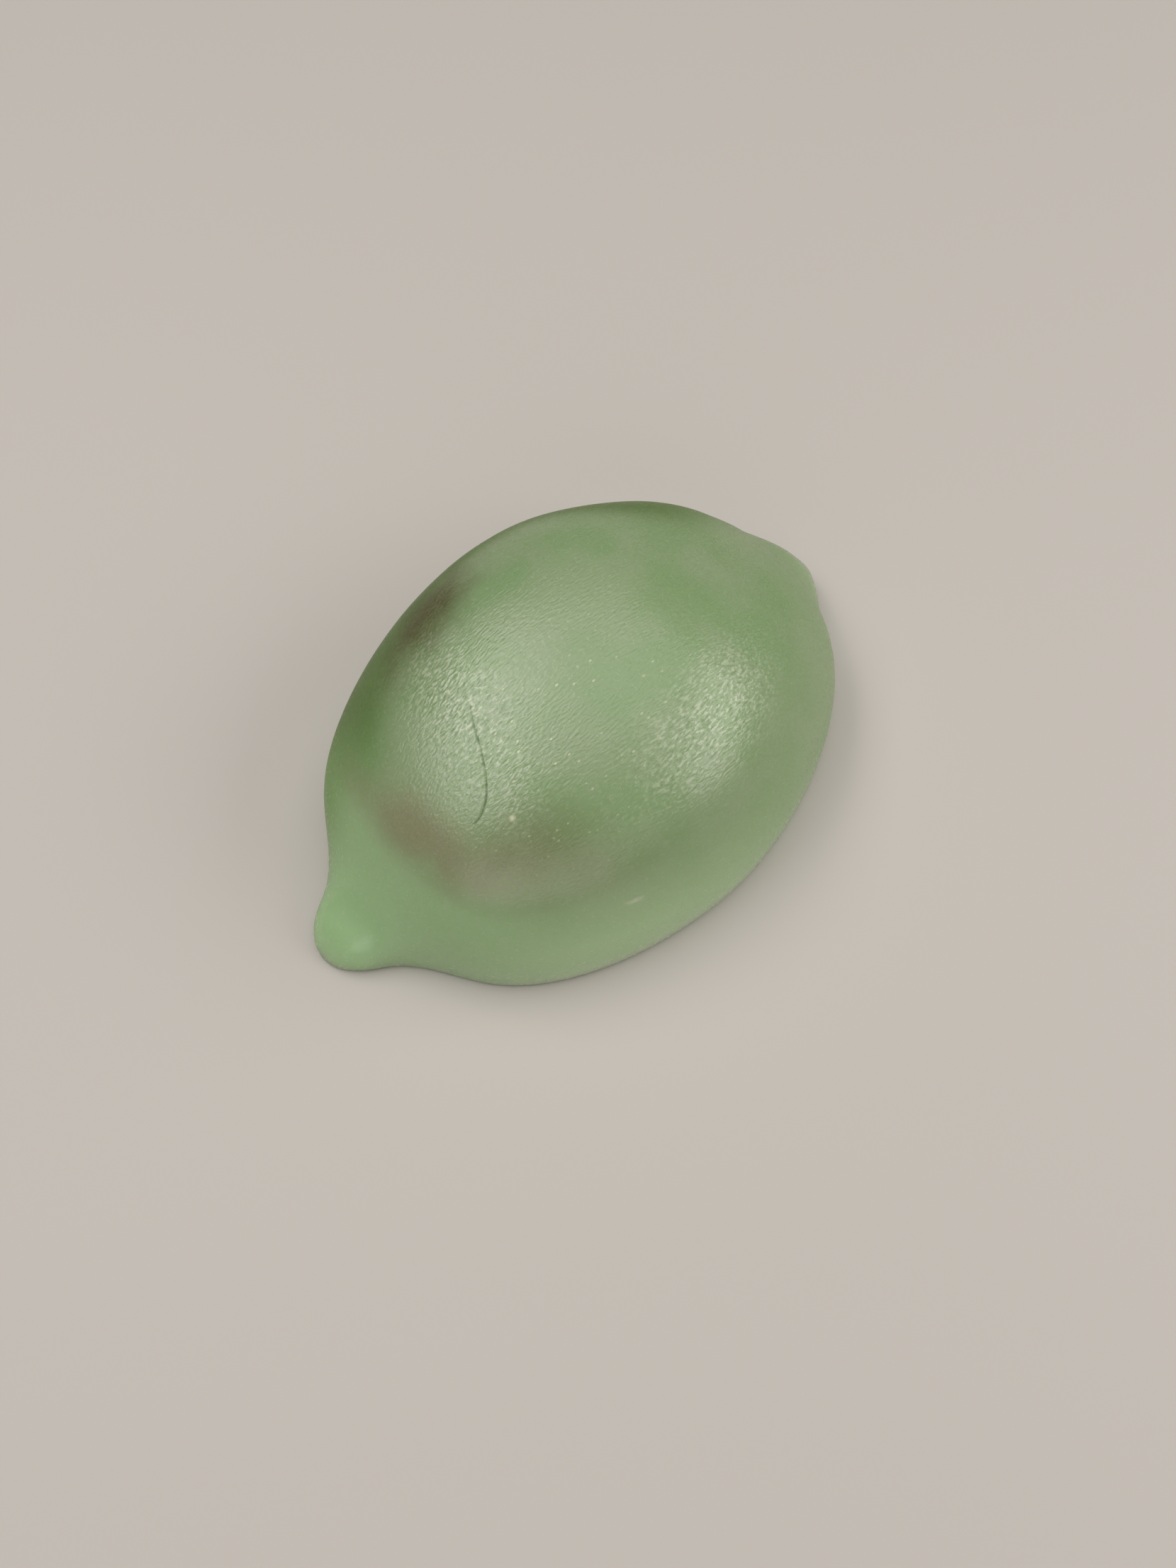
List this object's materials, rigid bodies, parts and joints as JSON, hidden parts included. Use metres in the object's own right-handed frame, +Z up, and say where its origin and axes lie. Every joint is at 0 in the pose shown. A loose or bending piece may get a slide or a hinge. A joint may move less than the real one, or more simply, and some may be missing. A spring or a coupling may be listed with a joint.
{
  "type": "half lime soap bar",
  "caption": "Cast soap bar in the shape of half a lime, with a flat pour face, a pointed nub and a blunt stem button.",
  "frame": {"origin": "centre of the flat pour face that the soap rests on", "axes": "+X along the long axis from the pointed nub to the blunt stem button, +Z up from the pour face"},
  "size_m": [0.075, 0.0492, 0.0243],
  "materials": {
    "lime_soap": "translucent green melt-and-pour soap with a satin, slightly frosted skin"
  },
  "bodies": {
    "root": {"lime_soap": "lime_soap"}
  },
  "joints": []
}
